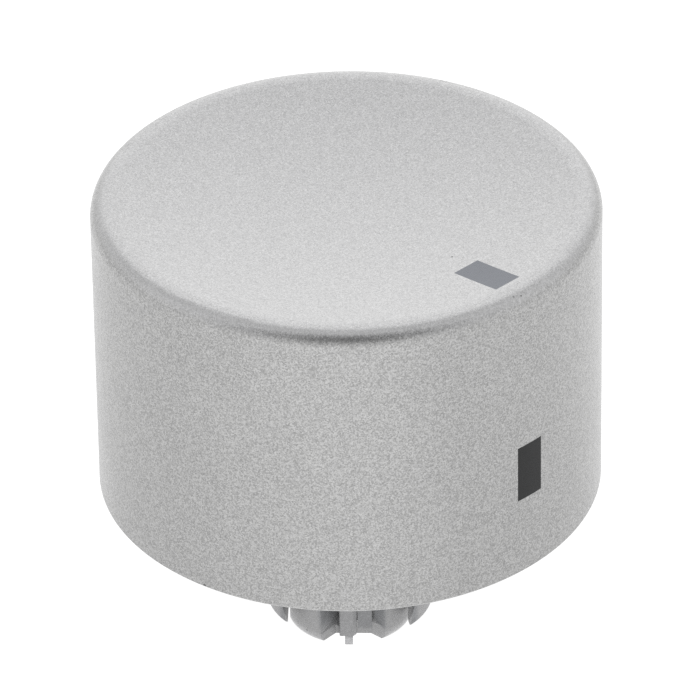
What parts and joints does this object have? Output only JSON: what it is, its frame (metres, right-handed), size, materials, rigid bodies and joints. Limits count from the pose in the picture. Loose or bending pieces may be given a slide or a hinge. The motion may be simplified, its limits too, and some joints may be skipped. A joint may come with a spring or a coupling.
{
  "type": "control knob",
  "caption": "Round control knob: a silver-painted cap with a hollowed face and dark index marks, on a grey moulded stem with a D-shaped socket for a control shaft.",
  "frame": {"origin": "on the knob's axis, in the plane of the cap's open rim, inside the stem's round guide", "axes": "+Z along the axis, out through the knob's face; -Z the way the stem points into the control; -Y towards the index marks"},
  "size_m": [0.04, 0.04, 0.0399],
  "materials": {
    "silver_paint": "fine-grained metallic silver paint on moulded plastic, satin",
    "grey_plastic": "bare moulded light grey plastic, satin",
    "index_print": "dark grey printed ink, semi-gloss"
  },
  "bodies": {
    "root": {"knob_cap": "silver_paint", "stem_insert": "grey_plastic", "face_mark": "index_print", "wall_mark": "index_print"}
  },
  "joints": []
}
